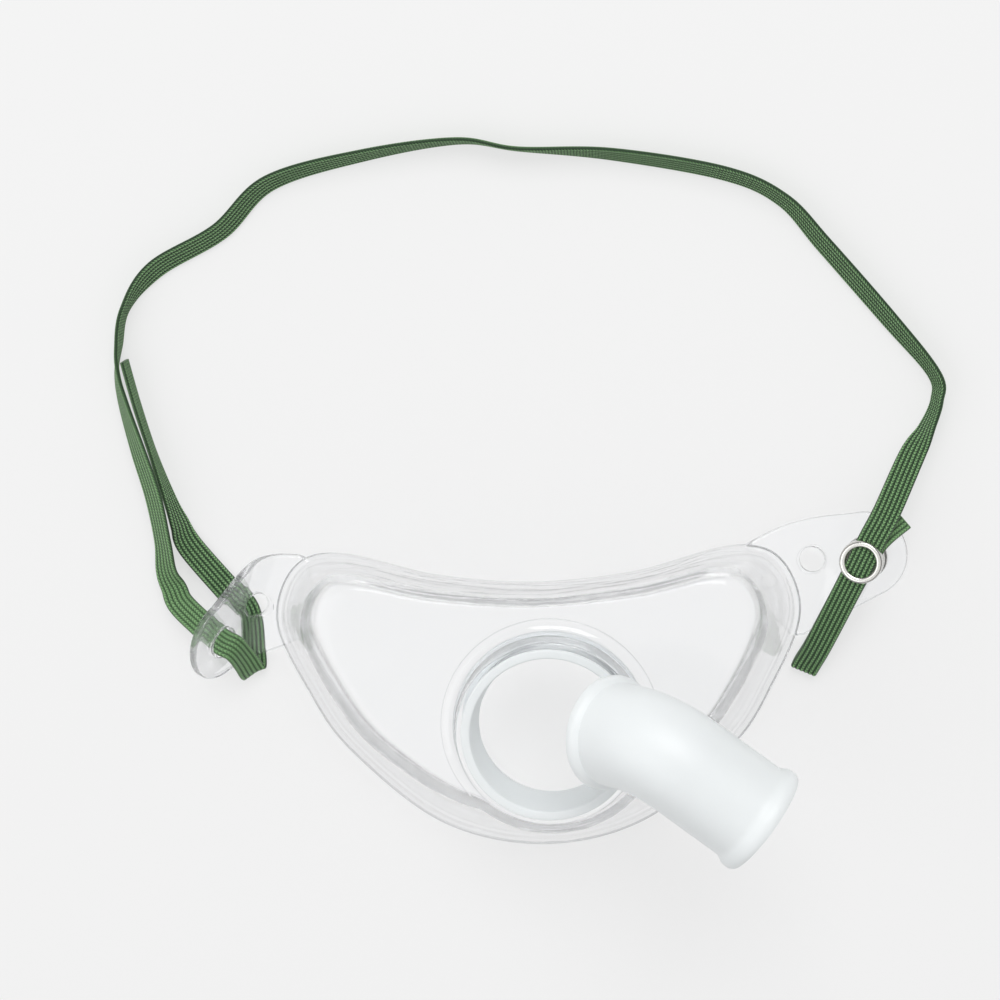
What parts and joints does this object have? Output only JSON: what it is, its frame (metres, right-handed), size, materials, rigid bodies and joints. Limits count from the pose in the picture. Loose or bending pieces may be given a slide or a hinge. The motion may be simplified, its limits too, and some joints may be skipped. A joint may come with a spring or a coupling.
{
  "type": "tracheostomy mask",
  "caption": "Clear soft neck mask for tracheostomy oxygen, with a frosted swivel elbow for a hose and a green elastic strap held by a metal snap.",
  "frame": {"origin": "where the axis of the round port meets the plane of the neck rim", "axes": "+Z along the port axis away from the neck, +Y towards the chin side, +X towards the ear with the snap fastener"},
  "size_m": [0.1819, 0.1598, 0.0605],
  "materials": {
    "clear_vinyl": "clear soft vinyl, glossy",
    "frosted_plastic": "frosted translucent polyethylene",
    "green_elastic": "ribbed braided elastic",
    "nickel": "polished nickel"
  },
  "bodies": {
    "mask": {"mask_shell": "clear_vinyl", "head_strap": "green_elastic", "snap_ring": "nickel", "snap_socket": "nickel", "snap_stud": "nickel", "snap_back_ring": "nickel"},
    "connector": {"swivel_connector": "frosted_plastic"}
  },
  "joints": [
    {"name": "connector_swivel", "type": "hinge", "parent": "mask", "child": "connector", "pos_m": [0, 0, 0.022], "axis": [0, 0, 1], "continuous": true}
  ]
}
